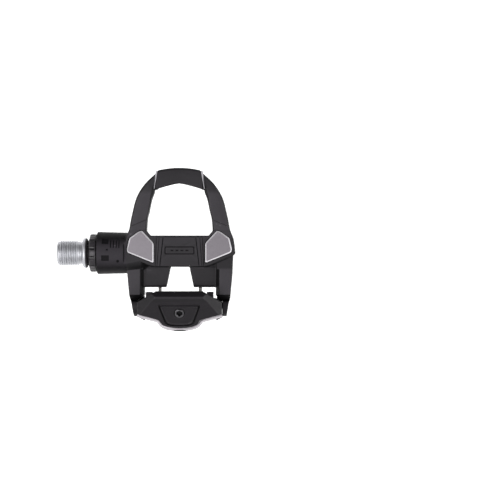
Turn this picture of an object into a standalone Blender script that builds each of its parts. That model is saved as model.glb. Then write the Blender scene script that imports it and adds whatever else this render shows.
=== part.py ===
"""Clipless road pedal for the right foot, modelled piece by piece.

Frame: the origin is on the spindle's axis, at the flange face that meets the crank.
+X runs along the spindle into the pedal, +Y to the pedal's nose, +Z up to the shoe.
Sizes are written in millimetres, and MM turns them into Blender's metres.
Pieces of the body and the claw are drawn around the platform's middle, where X is 0.
"""
import math

import bmesh
import bpy
from mathutils import Matrix, Vector

MM = 0.001

# Driving dimensions, in mm
AXLE_TO_MIDDLE = 55.0        # crank face to the middle of the platform
THREAD_R = 7.145             # 9/16 inch thread, 20 threads to the inch
THREAD_ROOT_R = 6.45
THREAD_PITCH = 1.27
THREAD_START = -14.3
THREAD_END = -1.5
HEX_SOCKET = 8.0             # across the flats
HEX_DEPTH = 8.5
FLANGE_R = 8.5
FLANGE_WIDTH = 1.8
JOURNAL_R = 5.9
NUT_FACE_X = 3.2
BARREL_FACE_X = 8.2
BARREL_R = 12.0
BARREL_INNER_R = 11.6
NUT_SLEEVE_R = 10.0
NUT_SLEEVE_END = 17.0
NEEDLE_START, NEEDLE_END = 18.4, 30.4
NEEDLE_CUP_R = 9.0
NEEDLE_COUNT = 14
NEEDLE_R = 0.95
NEEDLE_RING_R = 7.0
BALL_START, BALL_END = 62.6, 67.6
BALL_JOURNAL_R = 3.0
BALL_OUTER_R = 6.5
BALL_COUNT = 8
BALL_R = 0.95
BALL_RING_R = 4.75
BORE_END = 74.5
RUNNING_GAP = 0.15           # radial gap between two pieces, one round the other

DECK_TOP = 10.0              # platform's top above the spindle axis
PLATE_TOP = 10.9
PLATE_THICKNESS = 1.9
DECK_FRONT = 9.8
DECK_REAR = -7.8
DECK_UNDERSIDE = 1.5
ARM_TOP_AT_NOSE = 12.0
NOSE_TOP = 14.0
NOSE_TIP = 47.8
NOSE_HALF_WIDTH = 12.3
NOSE_INNER_PEAK = 38.9
NOSE_INNER_CORNER = 35.6

LEG_TOP = 6.0
LEG_INNER = 20.0
EAR_INNER = 24.3
BLOCK_TOP = 2.6
BLOCK_REAR = -19.4
PIN_Y, PIN_Z = -30.0, -3.5
PIN_R = 2.0
EAR_R = 5.0

SPRING_WIRE_R = 0.95
COIL_R = 4.15
COIL_TURNS = 3
SPRING_LEG_X = 11.4
SPRING_LEG_DROP = math.radians(10)
LOOP_LEAN = math.radians(14)  # how far the middle loop leans back from upright

CLAW_HALF_WIDTH = 23.7
CLAW_LIP_Y, CLAW_LIP_Z = -21.2, 14.3
CLAW_RIDGE_Y, CLAW_RIDGE_Z = -24.4, 17.5
CLAW_REAR_EDGE = [           # from above, from the claw's side to its middle
    (CLAW_HALF_WIDTH, -34.4), (11.8, -37.6), (9.8, -40.4), (7.0, -41.6), (3.5, -42.15), (0, -42.3),
]
BAND_TOP, BAND_BOTTOM = 6.4, -5.6
BAND_GAP = 0.15
CLAW_PAD_TILT = math.radians(30)
SCREW_Y, SCREW_Z = -34.1, 11.4
SCREW_HEAD_R = 2.7
SCREW_SHANK_R = 1.9
SCREW_LENGTH = 12.0
TENSION_NUT_DEPTH = 7.6      # from the screw's head down to the nut, at its tightest
TENSION_NUT_HALF = 1.5

ROUND_STEPS = 48             # facets round the large turned pieces
FINE_STEPS = 32              # and round the small ones


def clear_scene():
    for obj in list(bpy.data.objects):
        bpy.data.objects.remove(obj, do_unlink=True)
    for collection in list(bpy.data.collections):
        bpy.data.collections.remove(collection)


def new_collection(name):
    collection = bpy.data.collections.new(name)
    bpy.context.scene.collection.children.link(collection)
    return collection


clear_scene()
PARTS = new_collection("clipless_pedal")
CUTTERS = new_collection("cutters")
MIDDLE = (AXLE_TO_MIDDLE, 0, 0)


# Materials

def material(name, colour, roughness, metallic=0.0):
    made = bpy.data.materials.new(name)
    made.use_nodes = True
    shader = made.node_tree.nodes["Principled BSDF"]
    shader.inputs["Base Color"].default_value = (*colour, 1)
    shader.inputs["Roughness"].default_value = roughness
    shader.inputs["Metallic"].default_value = metallic
    made.diffuse_color = (*colour, 1)
    return made


BODY_PLASTIC = material("body_plastic", (0.045, 0.042, 0.048), 0.5)
CLAW_PLASTIC = material("claw_plastic", (0.05, 0.047, 0.053), 0.45)
NUT_PLASTIC = material("nut_plastic", (0.03, 0.03, 0.034), 0.4)
PLATE_STEEL = material("plate_steel", (0.33, 0.31, 0.34), 0.45, 0.9)
SPINDLE_STEEL = material("spindle_steel", (0.6, 0.6, 0.62), 0.3, 1.0)
BEARING_STEEL = material("bearing_steel", (0.7, 0.7, 0.72), 0.2, 1.0)
BAND_STEEL = material("band_steel", (0.8, 0.8, 0.82), 0.3, 1.0)
SPRING_STEEL = material("spring_steel", (0.25, 0.24, 0.22), 0.35, 1.0)
CAGE_PLASTIC = material("cage_plastic", (0.55, 0.4, 0.2), 0.5)
SEAL_RUBBER = material("seal_rubber", (0.02, 0.02, 0.02), 0.7)


# Modelling helpers; every length given to them is in mm

def tool(name, bm, origin=MIDDLE):
    """A hidden object made from a bmesh in mm, drawn around the origin given in mm."""
    bmesh.ops.recalc_face_normals(bm, faces=bm.faces)
    bmesh.ops.scale(bm, vec=(MM, MM, MM), verts=bm.verts)
    mesh = bpy.data.meshes.new(name)
    bm.to_mesh(mesh)
    bm.free()
    obj = bpy.data.objects.new(name, mesh)
    obj.location = Vector(origin) * MM
    return hide_as_tool(obj)


def hide_as_tool(obj):
    CUTTERS.objects.link(obj)
    obj.hide_render = True
    obj.display_type = "WIRE"
    return obj


def part(obj, look, parent=None):
    """Make a tool into a finished part: applied, smooth between its sharp edges, in its material."""
    apply_modifiers(obj)
    obj.data.shade_smooth()
    obj.data.set_sharp_from_angle(angle=math.radians(32))
    obj.data.materials.clear()
    obj.data.materials.append(look)
    CUTTERS.objects.unlink(obj)
    PARTS.objects.link(obj)
    obj.hide_render = False
    obj.display_type = "TEXTURED"
    if parent:
        obj.parent = parent
        obj.matrix_parent_inverse = parent.matrix_basis.inverted()
    return obj


def apply_modifiers(obj):
    if not obj.modifiers:
        return
    bpy.context.view_layer.update()
    evaluated = obj.evaluated_get(bpy.context.evaluated_depsgraph_get())
    mesh = bpy.data.meshes.new_from_object(evaluated)
    obj.modifiers.clear()
    obj.data = mesh


def face_outwards(mesh):
    bm = bmesh.new()
    bm.from_mesh(mesh)
    bmesh.ops.remove_doubles(bm, verts=bm.verts, dist=0.000001)
    bmesh.ops.recalc_face_normals(bm, faces=bm.faces)
    bm.to_mesh(mesh)
    bm.free()


def combine(obj, other, operation):
    boolean = obj.modifiers.new(operation.lower(), "BOOLEAN")
    boolean.operation = operation
    boolean.solver = "EXACT"
    boolean.object = other


def join(obj, other):
    combine(obj, other, "UNION")


def cut(obj, other):
    combine(obj, other, "DIFFERENCE")


def common(obj, other):
    combine(obj, other, "INTERSECT")


def mirror_sides(obj):
    """Add the other side, across the object's own plane X = 0."""
    mirror = obj.modifiers.new("mirror", "MIRROR")
    mirror.use_axis = (True, False, False)
    mirror.use_mirror_merge = False
    return obj


def both_sides(right_half):
    """Close an outline given for the right half, from its first to its last point."""
    return right_half + [(-x, y) for x, y in reversed(right_half) if x > 0.01]


def slab(name, outline, low, high, origin=MIDDLE):
    """A flat outline in X and Y, between two heights."""
    bm = bmesh.new()
    face = bm.faces.new([bm.verts.new((x, y, low)) for x, y in outline])
    raised = bmesh.ops.extrude_face_region(bm, geom=[face])["geom"]
    verts = [item for item in raised if isinstance(item, bmesh.types.BMVert)]
    bmesh.ops.translate(bm, vec=(0, 0, high - low), verts=verts)
    return tool(name, bm, origin)


def profile_bar(name, outline, left, right, origin=MIDDLE):
    """A side outline in Y and Z, between two places along X."""
    bm = bmesh.new()
    face = bm.faces.new([bm.verts.new((left, y, z)) for y, z in outline])
    moved = bmesh.ops.extrude_face_region(bm, geom=[face])["geom"]
    verts = [item for item in moved if isinstance(item, bmesh.types.BMVert)]
    bmesh.ops.translate(bm, vec=(right - left, 0, 0), verts=verts)
    return tool(name, bm, origin)


def block(name, low, high, origin=MIDDLE, turn=None):
    """A box between two corners, turned about its middle if a matrix is given."""
    bm = bmesh.new()
    bmesh.ops.create_cube(bm, size=1)
    size = [top - bottom for bottom, top in zip(low, high)]
    middle = Vector([(top + bottom) / 2 for bottom, top in zip(low, high)])
    bmesh.ops.scale(bm, vec=size, verts=bm.verts)
    if turn:
        bmesh.ops.transform(bm, matrix=turn, verts=bm.verts)
    bmesh.ops.translate(bm, vec=middle, verts=bm.verts)
    return tool(name, bm, origin)


def rod(name, start, end, radius, steps=24, end_radius=None, origin=MIDDLE):
    """A round bar, or a cone, between two points."""
    start, end = Vector(start), Vector(end)
    bm = bmesh.new()
    bmesh.ops.create_cone(
        bm,
        cap_ends=True,
        segments=steps,
        radius1=radius,
        radius2=radius if end_radius is None else end_radius,
        depth=(end - start).length,
    )
    turn = (end - start).to_track_quat("Z", "Y").to_matrix().to_4x4()
    bmesh.ops.transform(bm, matrix=Matrix.Translation((start + end) / 2) @ turn, verts=bm.verts)
    return tool(name, bm, origin)


def turned(name, profile, steps=ROUND_STEPS, hollow=False):
    """A shape turned about the spindle axis.

    The profile lists (place along X, radius), outward side first in order of X, and for a
    hollow shape then back through its bore.
    """
    bm = bmesh.new()
    verts = [bm.verts.new((radius, 0, along)) for along, radius in reversed(profile)]
    for first, second in zip(verts, verts[1:]):
        bm.edges.new((first, second))
    if hollow:
        bm.edges.new((verts[-1], verts[0]))
    obj = tool(name, bm, (0, 0, 0))
    obj.rotation_euler = (0, math.pi / 2, 0)
    screw = obj.modifiers.new("turn", "SCREW")
    screw.steps = steps
    screw.render_steps = steps
    screw.use_merge_vertices = True
    screw.merge_threshold = 0.00001
    apply_modifiers(obj)
    face_outwards(obj.data)
    return obj


def loft(name, sections, origin=MIDDLE):
    """A closed skin over sections that all have the same number of points."""
    bm = bmesh.new()
    rings = [[bm.verts.new(point) for point in section] for section in sections]
    count = len(rings[0])
    for ring, following in zip(rings, rings[1:]):
        for i in range(count):
            j = (i + 1) % count
            bm.faces.new((ring[i], ring[j], following[j], following[i]))
    bm.faces.new(rings[0])
    bm.faces.new(list(reversed(rings[-1])))
    return tool(name, bm, origin)


def wire(name, points, radius, origin=MIDDLE):
    """A round wire along a list of points."""
    curve = bpy.data.curves.new(name, "CURVE")
    curve.dimensions = "3D"
    curve.bevel_depth = radius * MM
    curve.bevel_resolution = 2
    curve.use_fill_caps = True
    spline = curve.splines.new("POLY")
    spline.points.add(len(points) - 1)
    for spot, point in zip(spline.points, points):
        spot.co = (*(Vector(point) * MM), 1)
    obj = bpy.data.objects.new(name, curve)
    obj.location = Vector(origin) * MM
    return curve_to_mesh(obj)


def curve_to_mesh(obj):
    CUTTERS.objects.link(obj)
    bpy.context.view_layer.update()
    evaluated = obj.evaluated_get(bpy.context.evaluated_depsgraph_get())
    mesh = bpy.data.meshes.new_from_object(evaluated)
    face_outwards(mesh)
    name = obj.name
    made = bpy.data.objects.new(name, mesh)
    made.matrix_world = obj.matrix_world
    bpy.data.objects.remove(obj)
    made.name = name
    return hide_as_tool(made)


def bevel_top(obj, width):
    """Chamfer the edges round the highest face of a slab."""
    bm = bmesh.new()
    bm.from_mesh(obj.data)
    top = max(vert.co.z for vert in bm.verts) - 0.1 * MM
    edges = [edge for edge in bm.edges if all(vert.co.z > top for vert in edge.verts)]
    bmesh.ops.bevel(bm, geom=edges, offset=width * MM, segments=1, affect="EDGES")
    bm.to_mesh(obj.data)
    bm.free()


def arc(centre, radius, start, end, count):
    """Points on an arc, from one angle in degrees to another."""
    angles = [math.radians(start + (end - start) * i / (count - 1)) for i in range(count)]
    return [(centre[0] + radius * math.cos(a), centre[1] + radius * math.sin(a)) for a in angles]


def smooth_points(points, count):
    """Points evenly spaced in order along a smooth curve through the ones given."""
    padded = [points[0], *points, points[-1]]
    found = []
    for i in range(count):
        place = i / (count - 1) * (len(points) - 1)
        k = min(int(place), len(points) - 2)
        t = place - k
        p0, p1, p2, p3 = (Vector(p) for p in padded[k:k + 4])
        bend = (2 * p0 - 5 * p1 + 4 * p2 - p3) * t * t + (3 * p1 - p0 - 3 * p2 + p3) * t ** 3
        found.append(tuple((2 * p1 + (p2 - p0) * t + bend) / 2))
    return found


def empty(name, place):
    obj = bpy.data.objects.new(name, None)
    obj.location = Vector(place) * MM
    obj.empty_display_size = 0.01
    PARTS.objects.link(obj)
    return obj


# Spindle and what turns with it

def thread_ridge():
    """One V-shaped ridge wound round the thread's core, fading in and out at its ends."""
    steps = FINE_STEPS // 2
    turns = (THREAD_END - THREAD_START - THREAD_PITCH) / THREAD_PITCH
    count = round(turns * steps)
    fade = steps / 2
    sections = []
    for i in range(count + 1):
        angle = 2 * math.pi * i / steps
        along = THREAD_START + 0.62 + THREAD_PITCH * i / steps
        height = min(1, i / fade, (count - i) / fade)
        crest = THREAD_ROOT_R - 0.05 + (THREAD_R - THREAD_ROOT_R + 0.05) * height
        around = Vector((0, math.cos(angle), math.sin(angle)))
        shape = [(-0.52, THREAD_ROOT_R - 0.2), (-0.08, crest), (0.08, crest), (0.52, THREAD_ROOT_R - 0.2)]
        sections.append([Vector((along + dx, 0, 0)) + around * radius for dx, radius in shape])
    return loft("thread_ridge", sections, (0, 0, 0))


def hexagon_socket(name, start, end, across_flats):
    radius = across_flats / 2 / math.cos(math.pi / 6)
    return rod(name, start, end, radius, steps=6, origin=(0, 0, 0))


def make_spindle():
    spindle = turned("spindle", [
        (THREAD_START, 0), (THREAD_START, 5.9), (THREAD_START + 0.55, THREAD_ROOT_R),
        (THREAD_END, THREAD_ROOT_R), (THREAD_END + 0.1, 6.2), (-0.5, 6.2), (0, THREAD_R + 0.15),
        (0, FLANGE_R - 0.25), (0.25, FLANGE_R), (FLANGE_WIDTH, FLANGE_R),
        (FLANGE_WIDTH, JOURNAL_R), (NEEDLE_END + 2.5, JOURNAL_R), (38, 4.4),
        (BALL_START - 0.3, 4.0), (BALL_START - 0.3, BALL_JOURNAL_R),
        (72.6, BALL_JOURNAL_R), (73.2, 2.4), (73.2, 0),
    ], FINE_STEPS)
    join(spindle, thread_ridge())
    socket = hexagon_socket(
        "hex_socket", (THREAD_START - 1, 0, 0), (THREAD_START + HEX_DEPTH, 0, 0), HEX_SOCKET
    )
    cut(spindle, socket)
    part(spindle, SPINDLE_STEEL)

    seal = turned("spindle_seal", [
        (FLANGE_WIDTH + 0.2, FLANGE_R - 0.1), (FLANGE_WIDTH + 0.5, FLANGE_R - 0.1),
        (NUT_FACE_X - 0.2, 7.0), (NUT_FACE_X - 0.2, JOURNAL_R + RUNNING_GAP),
        (FLANGE_WIDTH + 0.2, JOURNAL_R + RUNNING_GAP),
    ], FINE_STEPS, hollow=True)
    part(seal, SEAL_RUBBER)

    inner_ring = turned("ball_bearing_inner_ring", [
        (BALL_START, 3.85), (BALL_START + 1.5, 3.85), (BALL_START + 2.1, 3.65),
        (BALL_END - 2.1, 3.65), (BALL_END - 1.5, 3.85), (BALL_END, 3.85),
        (BALL_END, BALL_JOURNAL_R + RUNNING_GAP), (BALL_START, BALL_JOURNAL_R + RUNNING_GAP),
    ], steps=24, hollow=True)
    part(inner_ring, BEARING_STEEL)

    washer_start = BALL_END + 0.3
    washer = turned("lock_washer", [
        (washer_start, 4.8), (washer_start + 0.8, 4.8),
        (washer_start + 0.8, BALL_JOURNAL_R + RUNNING_GAP), (washer_start, BALL_JOURNAL_R + RUNNING_GAP),
    ], steps=24, hollow=True)
    part(washer, BEARING_STEEL)

    nut_start = washer_start + 1.1
    lock_nut = rod("spindle_lock_nut", (nut_start, 0, 0), (nut_start + 3.0, 0, 0), 5.6, 6, origin=(0, 0, 0))
    hole = rod(
        "lock_nut_hole", (nut_start - 1, 0, 0), (nut_start + 4, 0, 0),
        BALL_JOURNAL_R + RUNNING_GAP, 32, origin=(0, 0, 0),
    )
    cut(lock_nut, hole)
    part(lock_nut, BEARING_STEEL)


# Bearings

def cage_with_pockets(name, profile, steps, pocket_radius, ring_radius, count, start, end):
    cage = turned(name, profile, steps, hollow=True)
    for i in range(count):
        angle = 2 * math.pi * i / count
        y, z = ring_radius * math.cos(angle), ring_radius * math.sin(angle)
        pocket = rod(f"{name}_pocket_{i}", (start, y, z), (end, y, z), pocket_radius, 12, origin=(0, 0, 0))
        cut(cage, pocket)
    return cage


def make_needle_bearing(body_axis, cage_axis):
    cup_bore = NEEDLE_RING_R + NEEDLE_R + RUNNING_GAP
    cup = turned("needle_bearing_cup", [
        (NEEDLE_START, NEEDLE_CUP_R - 0.3), (NEEDLE_START + 0.3, NEEDLE_CUP_R),
        (NEEDLE_END - 0.3, NEEDLE_CUP_R), (NEEDLE_END, NEEDLE_CUP_R - 0.3),
        (NEEDLE_END, 7.3), (NEEDLE_END - 0.8, 7.3), (NEEDLE_END - 0.8, cup_bore),
        (NEEDLE_START + 0.8, cup_bore), (NEEDLE_START + 0.8, 7.3), (NEEDLE_START, 7.3),
    ], FINE_STEPS, hollow=True)
    part(cup, BEARING_STEEL, body_axis)

    roller_start, roller_end = NEEDLE_START + 2.0, NEEDLE_END - 2.0
    cage = cage_with_pockets(
        "needle_bearing_cage",
        [
            (NEEDLE_START + 1.1, 7.4), (NEEDLE_END - 1.1, 7.4),
            (NEEDLE_END - 1.1, 6.5), (NEEDLE_START + 1.1, 6.5),
        ],
        2 * NEEDLE_COUNT,
        NEEDLE_R + 0.13, NEEDLE_RING_R, NEEDLE_COUNT, roller_start - 0.15, roller_end + 0.15,
    )
    part(cage, CAGE_PLASTIC, cage_axis)

    for i in range(NEEDLE_COUNT):
        angle = 2 * math.pi * i / NEEDLE_COUNT
        y, z = NEEDLE_RING_R * math.cos(angle), NEEDLE_RING_R * math.sin(angle)
        roller = rod(
            f"needle_roller_{i + 1:02d}", (roller_start, y, z), (roller_end, y, z),
            NEEDLE_R, 10, origin=(0, 0, 0),
        )
        part(roller, BEARING_STEEL, cage_axis)


def make_ball_bearing(body_axis, cage_axis):
    middle = (BALL_START + BALL_END) / 2
    outer_ring = turned("ball_bearing_outer_ring", [
        (BALL_START, BALL_OUTER_R - 0.25), (BALL_START + 0.25, BALL_OUTER_R),
        (BALL_END - 0.25, BALL_OUTER_R), (BALL_END, BALL_OUTER_R - 0.25),
        (BALL_END, 5.65), (middle + 0.45, 5.65), (middle + 0.3, 5.85),
        (middle - 0.3, 5.85), (middle - 0.45, 5.65), (BALL_START, 5.65),
    ], steps=24, hollow=True)
    part(outer_ring, BEARING_STEEL, body_axis)

    for side, place in (("inner", BALL_START + 0.15), ("outer", BALL_END - 0.55)):
        shield = turned(f"ball_bearing_{side}_shield", [
            (place, 5.5), (place + 0.4, 5.5), (place + 0.4, 4.05), (place, 4.05),
        ], steps=24, hollow=True)
        part(shield, SEAL_RUBBER, body_axis)

    cage = cage_with_pockets(
        "ball_bearing_cage",
        [(middle - 1.35, 5.1), (middle + 1.35, 5.1), (middle + 1.35, 4.4), (middle - 1.35, 4.4)],
        3 * BALL_COUNT,
        BALL_R + 0.13, BALL_RING_R, BALL_COUNT, middle - 1.05, middle + 1.05,
    )
    part(cage, CAGE_PLASTIC, cage_axis)

    for i in range(BALL_COUNT):
        angle = 2 * math.pi * i / BALL_COUNT
        bm = bmesh.new()
        bmesh.ops.create_icosphere(bm, subdivisions=2, radius=BALL_R)
        centre = (middle, BALL_RING_R * math.cos(angle), BALL_RING_R * math.sin(angle))
        ball = tool(f"bearing_ball_{i + 1}", bm, centre)
        part(ball, BEARING_STEEL, cage_axis)


def make_retaining_nut(body_axis):
    """The splined nut that screws into the barrel and holds the spindle in."""
    nut = turned("retaining_nut", [
        (NUT_FACE_X, 7.0), (NUT_FACE_X + 1.1, 10.7), (BARREL_FACE_X - 0.3, 10.7),
        (BARREL_FACE_X - 0.3, NUT_SLEEVE_R), (NUT_SLEEVE_END, NUT_SLEEVE_R),
        (NUT_SLEEVE_END, 8.2), (7.4, 8.2), (7.4, 7.2), (5.2, 7.2), (5.2, 6.2), (NUT_FACE_X, 6.2),
    ], hollow=True)
    splines = 12
    for i in range(splines):
        angle = 2 * math.pi * i / splines
        y, z = 11.3 * math.cos(angle), 11.3 * math.sin(angle)
        groove = rod(
            f"spline_groove_{i + 1}", (NUT_FACE_X - 1, y, z), (BARREL_FACE_X - 1.1, y, z),
            1.25, 8, origin=(0, 0, 0),
        )
        cut(nut, groove)
    part(nut, NUT_PLASTIC, body_axis)

    lip_seal = turned("nut_lip_seal", [
        (5.5, 7.0), (7.1, 7.0), (7.1, 6.4), (6.6, 6.1), (6.3, 6.1), (5.5, 6.6),
    ], FINE_STEPS, hollow=True)
    part(lip_seal, SEAL_RUBBER, body_axis)


# Pedal body

ARM_OUTER = [(29.6, 5.5), (28.2, 14.0), (26.4, 23.0), (24.0, 31.5), (19.6, 38.6), (13.6, 44.4)]
ARM_INNER = [(18.9, 5.5), (18.7, 14.0), (17.2, 22.5), (15.6, 30.0), (14.3, 33.4), (13.9, 35.5)]
PLATE_OUTLINE = [
    (14.3, 5.6), (21.1, 12.9), (23.2, 12.1), (28.2, 8.5), (29.7, 2.0), (29.2, 0.2), (14.3, -5.8),
]


def hoop_section(inner, outer, bottom, top):
    """Six points of a bar's section, from its inner edge across to its outer edge."""
    inner, outer = Vector(inner), Vector(outer)
    edge = (outer - inner).normalized() * 0.8
    flat = [
        (inner, bottom), (inner, top - 0.8), (inner + edge, top),
        (outer - edge, top), (outer, top - 0.8), (outer, bottom),
    ]
    return [(place.x, place.y, height) for place, height in flat]


def make_hoop():
    """The two arms and the raised nose bar between them, in one skin from side to side."""
    count = 11
    sections = []
    pairs = zip(smooth_points(ARM_INNER, count), smooth_points(ARM_OUTER, count))
    for i, (inner, outer) in enumerate(pairs):
        share = i / (count - 1)
        top = DECK_TOP - 0.4 + (ARM_TOP_AT_NOSE - DECK_TOP + 0.4) * share
        sections.append(hoop_section(inner, outer, -1 + 3 * share, top))
    for share in (1.0, 0.94, 0.78, 0.4, 0.0):
        x = NOSE_HALF_WIDTH * share
        outer = (x, NOSE_TIP - 1.5 * share ** 2)
        if share == 1.0:
            outer = (x, NOSE_TIP - 2.2)
        inner_x = (NOSE_HALF_WIDTH + 0.7) * share
        inner_y = NOSE_INNER_PEAK - (NOSE_INNER_PEAK - NOSE_INNER_CORNER) * share ** 1.3
        sections.append(hoop_section((inner_x, inner_y), outer, 2, NOSE_TOP))
    other_side = [[(-x, y, z) for x, y, z in section] for section in reversed(sections[:-1])]
    return loft("pedal_body", sections + other_side)


def deck_outline():
    return both_sides([
        (16.4, DECK_FRONT), (19.2, 13.2), (28.3, 13.2), (30.3, 8.2), (30.9, 4.5), (31.5, -0.3),
        (30.4, -1.2), (17.6, -6.9), (14.0, DECK_REAR),
    ])


def make_legs():
    """The two rear legs: a plan outline and a side outline, kept where both agree."""
    plan = slab("leg_plan", [
        (LEG_INNER, 1), (LEG_INNER, -23.9), (EAR_INNER, -26.5), (EAR_INNER, -36),
        (26.3, -36), (26.7, -33.5), (27.4, -29), (28.4, -25.6), (29.6, -12), (30.2, 1),
    ], -12, 12)
    side = profile_bar("leg_side", [
        (0, 9.5), (-9, LEG_TOP), (-23.4, LEG_TOP), (-26.8, 0.6),
        *arc((PIN_Y, PIN_Z), EAR_R, 65, 270, 12), (-12, -8.5), (0, -5),
    ], LEG_INNER - 1, 32)
    common(plan, side)
    # A lip under each leg's end closes the gap beside the claw from below
    join(plan, block("leg_lip", (20.6, -27.8, -10.6), (25.6, -24.4, -9.0)))
    join(plan, block("lip_root", (24.6, -28.2, -10.6), (26.0, -24.0, -7.5)))
    return mirror_sides(plan)


def make_spring_blocks():
    """The blocks that the spring's legs push on, either side of the gap in the middle."""
    blocks = slab("spring_blocks", [
        (5.1, -6.5), (7.8, BLOCK_REAR), (LEG_INNER + 0.6, BLOCK_REAR), (LEG_INNER + 0.6, -6.5),
    ], -6.6, BLOCK_TOP)
    return mirror_sides(blocks)


def make_barrel():
    return turned("barrel", [
        (BARREL_FACE_X, 0), (BARREL_FACE_X, BARREL_R - 1.1), (BARREL_FACE_X + 1.1, BARREL_R),
        (26, BARREL_INNER_R), (33.5, 10.8), (37.5, 7.5), (37.5, 0),
    ])


def make_core():
    """The bar under the middle of the deck that the spindle runs in."""
    low, bevel = -8.8, 2.5
    return profile_bar("core", [
        (DECK_FRONT - 0.05, 3), (DECK_FRONT - 0.05, low + 5), (DECK_FRONT - bevel - 1, low),
        (DECK_REAR + bevel, low), (DECK_REAR + 0.05, low + bevel), (DECK_REAR + 0.05, 3),
    ], -22, 21.5)


def body_cutters():
    yield block("deck_trim", (-31.3, -12.5, DECK_TOP), (-14, 12.2, 16))
    yield turned("spindle_bore", [
        (BARREL_FACE_X - 2, 0), (BARREL_FACE_X - 2, NUT_SLEEVE_R + RUNNING_GAP),
        (NUT_SLEEVE_END + 0.5, NUT_SLEEVE_R + RUNNING_GAP),
        (NUT_SLEEVE_END + 0.5, NEEDLE_CUP_R + RUNNING_GAP), (NEEDLE_END + 0.3, NEEDLE_CUP_R + RUNNING_GAP),
        (NEEDLE_END + 2.5, BALL_OUTER_R + RUNNING_GAP), (BORE_END, BALL_OUTER_R + RUNNING_GAP),
        (BORE_END, 0),
    ])
    yield mirror_sides(slab("plate_pocket", PLATE_OUTLINE, PLATE_TOP - PLATE_THICKNESS - 0.3, 16))
    slant = Matrix.Rotation(math.atan2(1.6, 14), 4, "Z")
    yield mirror_sides(block("deck_groove", (9.8, -7.3, 9.5), (10.4, 7.1, 11), turn=slant))
    yield block("label_recess", (-8.3, -0.7, 9.6), (8.3, 3.6, 11))
    # The cleat's nose goes under the bar, which is open below
    yield slab("cleat_nose_space", both_sides([
        (12.0, 33.0), (12.0, 43.2), (9.0, 44.2), (0, 44.9),
    ]), -5, NOSE_TOP - 3.6)
    yield mirror_sides(rod("pin_hole", (23, PIN_Y, PIN_Z), (29, PIN_Y, PIN_Z), PIN_R + RUNNING_GAP))
    run = Vector((0, math.cos(SPRING_LEG_DROP), -math.sin(SPRING_LEG_DROP)))
    start = spring_leg_start()
    yield mirror_sides(rod(
        "spring_leg_hole", start + run * 7.5, start + run * 17.5, SPRING_WIRE_R + 0.3, 16,
    ))


def make_pedal_body(body_axis):
    body = make_hoop()
    join(body, slab("deck", deck_outline(), DECK_UNDERSIDE, DECK_TOP))
    join(body, make_core())
    join(body, make_barrel())
    join(body, make_legs())
    join(body, make_spring_blocks())
    for cutter in body_cutters():
        cut(body, cutter)
    part(body, BODY_PLASTIC, body_axis)


def make_wear_plates(body_axis):
    centre = Vector((22, 3))
    shrink = 0.972
    fitted = [tuple(centre + (Vector(point) - centre) * shrink) for point in PLATE_OUTLINE]
    for name, side in (("outboard_wear_plate", 1), ("inboard_wear_plate", -1)):
        outline = [(side * x, y) for x, y in fitted]
        plate = slab(name, outline, PLATE_TOP - PLATE_THICKNESS, PLATE_TOP)
        bevel_top(plate, 0.6)
        part(plate, PLATE_STEEL, body_axis)


# Release claw and its spring

def on_pad(x, forward, height):
    """A place across the pad, up its slope and square out of it, from the screw's head."""
    cos, sin = math.cos(CLAW_PAD_TILT), math.sin(CLAW_PAD_TILT)
    return Vector((x, SCREW_Y + forward * cos - height * sin, SCREW_Z + forward * sin + height * cos))


def screw_place(depth):
    return on_pad(0, 0, -depth)


def make_claw_shell():
    """The claw's outside: its outlines from above, from the side and from the front."""
    plan = slab("release_claw", both_sides([
        (12.8, -21.1), (CLAW_HALF_WIDTH, -27.6), *CLAW_REAR_EDGE,
    ]), -12, 20)
    side = profile_bar("claw_side", [
        (CLAW_LIP_Y, CLAW_LIP_Z), (CLAW_LIP_Y - 0.1, CLAW_LIP_Z + 0.7),
        (CLAW_RIDGE_Y, CLAW_RIDGE_Z), (-25.6, 17.2), (-27.2, 15.9), (-40.4, 8.3),
        (-42.6, 6.2), (-43, -3.5), (-41.5, -6.0), (-34.5, -8.3),
        *arc((PIN_Y, PIN_Z), EAR_R, 270, 320, 4),
        (-25.6, -1.0), (-25.2, CLAW_LIP_Z - 3.8), (-24.6, CLAW_LIP_Z - 0.4),
    ], -30, 30)
    front = slab("claw_front", both_sides([
        (13.0, CLAW_RIDGE_Z + 0.3), (CLAW_HALF_WIDTH + 0.5, 10.2), (CLAW_HALF_WIDTH + 0.5, -7),
        (CLAW_HALF_WIDTH - 1.5, -9.5),
    ]), 15, 50)
    front.rotation_euler = (math.pi / 2, 0, 0)
    common(plan, side)
    common(plan, front)
    join(plan, mirror_sides(block("claw_cheek", (15.3, -27.5, 3.0), (19.0, -21.9, 8.5))))
    return plan


def claw_cutters():
    # Recessed pad, open towards nothing: a shallow pocket square to the screw
    pad = slab("pad_recess", both_sides([(11.6, 5.0), (7.6, -4.6)]), -0.7, 4, (0, 0, 0))
    place_on_pad(pad)
    yield pad
    yield rod("screw_head_hole", screw_place(-3), screw_place(2.6), SCREW_HEAD_R + 0.2)
    yield rod("screw_shank_hole", screw_place(2), screw_place(20), SCREW_SHANK_R + 0.25)
    yield spring_cavity()
    yield rod("claw_pin_hole", (-26, PIN_Y, PIN_Z), (26, PIN_Y, PIN_Z), PIN_R + RUNNING_GAP)


def place_on_pad(obj):
    obj.location = (screw_place(0) + Vector(MIDDLE)) * MM
    obj.rotation_euler = (CLAW_PAD_TILT, 0, 0)


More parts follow.
